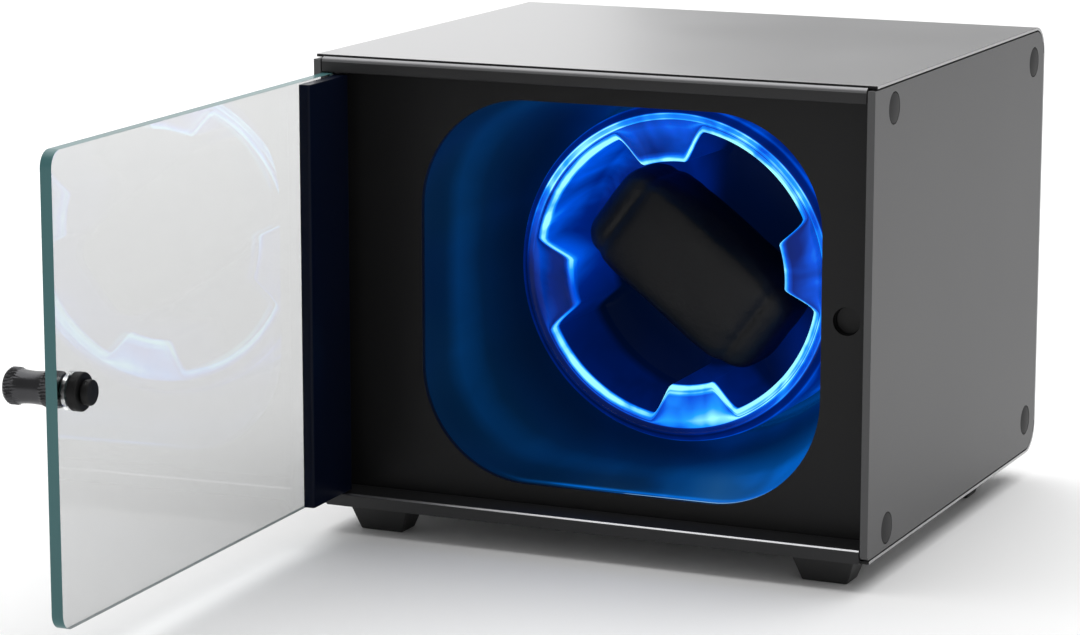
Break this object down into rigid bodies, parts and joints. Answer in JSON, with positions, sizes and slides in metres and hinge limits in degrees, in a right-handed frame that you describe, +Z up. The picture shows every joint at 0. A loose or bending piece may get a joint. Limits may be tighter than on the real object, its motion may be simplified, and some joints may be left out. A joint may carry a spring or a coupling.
{
  "type": "watch winder box",
  "caption": "Single watch winder: aluminium wrap box with a hinged glass door, recessed black front, lit motor-turned lobed drum and a soft pillow.",
  "frame": {"origin": "on the front right foot's sole, between its screw and its outer edge", "axes": "+Z up, -Y out of the front (towards the open glass door), +X to the right seen from the front"},
  "size_m": [0.1603, 0.2962, 0.1284],
  "materials": {
    "satin_aluminium": "satin, finely bead-blasted and anodised",
    "side_grey": "satin dark grey",
    "disc_grey": "satin, darker grey than the side panels",
    "rail_grey": "satin dark grey with bright chamfers",
    "panel_black": "satin black",
    "chamber_black": "glossy black, moulded",
    "drum_blue": "clear moulding lit blue from behind",
    "led_blue": "diffusing light ring",
    "glass_clear": "clear float glass with polished teal edges",
    "washer_clear": "clear",
    "bar_black": "satin black",
    "knob_steel": "dark turned steel",
    "rubber_black": "matt black",
    "pillow_fabric": "soft black synthetic leather",
    "frame_steel": "plain zinc-plated",
    "gear_plastic": "natural acetal",
    "motor_steel": "plated",
    "bush_brass": "plain",
    "board_green": "solder-masked board"
  },
  "bodies": {
    "case": {"bottom_rail": "rail_grey", "catch_cup": "panel_black", "chamber_liner": "chamber_black", "control_board": "board_green", "dc_inlet": "rubber_black", "front_left_foot": "rubber_black", "front_left_foot_screw": "knob_steel", "front_panel": "panel_black", "front_right_foot": "rubber_black", "front_right_foot_screw": "knob_steel", "gearbox": "motor_steel", "led_ring": "led_blue", "left_front_low_screw": "disc_grey", "left_front_post": "frame_steel", "left_front_top_screw": "disc_grey", "left_rear_low_screw": "disc_grey", "left_rear_post": "frame_steel", "left_rear_top_screw": "disc_grey", "left_side_panel": "side_grey", "motor_can": "motor_steel", "motor_plate": "frame_steel", "outer_wrap": "satin_aluminium", "rear_left_foot": "rubber_black", "rear_left_foot_screw": "knob_steel", "rear_panel": "panel_black", "rear_right_foot": "rubber_black", "rear_right_foot_screw": "knob_steel", "right_front_low_screw": "disc_grey", "right_front_post": "frame_steel", "right_front_top_screw": "disc_grey", "right_rear_low_screw": "disc_grey", "right_rear_post": "frame_steel", "right_rear_top_screw": "disc_grey", "right_side_panel": "side_grey", "shaft_bush": "bush_brass", "standoff_1": "frame_steel", "standoff_2": "frame_steel", "standoff_3": "frame_steel", "standoff_4": "frame_steel", "top_rail": "rail_grey"},
    "drum": {"drum_shell": "drum_blue", "drum_hub": "gear_plastic", "hub_screw": "knob_steel", "drive_shaft": "knob_steel"},
    "pillow": {"pillow": "pillow_fabric"},
    "door": {"glass_pane": "glass_clear", "hinge_bar": "bar_black", "upper_hinge_pin": "knob_steel", "lower_hinge_pin": "knob_steel", "knob": "knob_steel", "knob_washer": "washer_clear", "knob_collar": "rubber_black", "knob_tip": "rubber_black"},
    "mode_knob": {"mode_knob": "rubber_black"}
  },
  "joints": [
    {"name": "door_hinge", "type": "hinge", "parent": "case", "child": "door", "pos_m": [-0.1417, -0.0086, 0.0674], "axis": [0, 0, 1], "range_deg": [0, 88]},
    {"name": "drum_spin", "type": "hinge", "parent": "case", "child": "drum", "pos_m": [-0.0637, 0.0792, 0.0674], "axis": [0, -1, 0], "continuous": true},
    {"name": "pillow_pull", "type": "slide", "parent": "drum", "child": "pillow", "axis": [0, -1, 0], "range_m": [0, 0.038]},
    {"name": "mode_knob_turn", "type": "hinge", "parent": "case", "child": "mode_knob", "pos_m": [-0.0517, 0.1315, 0.0364], "axis": [0, 1, 0], "range_deg": [0, 270]}
  ]
}
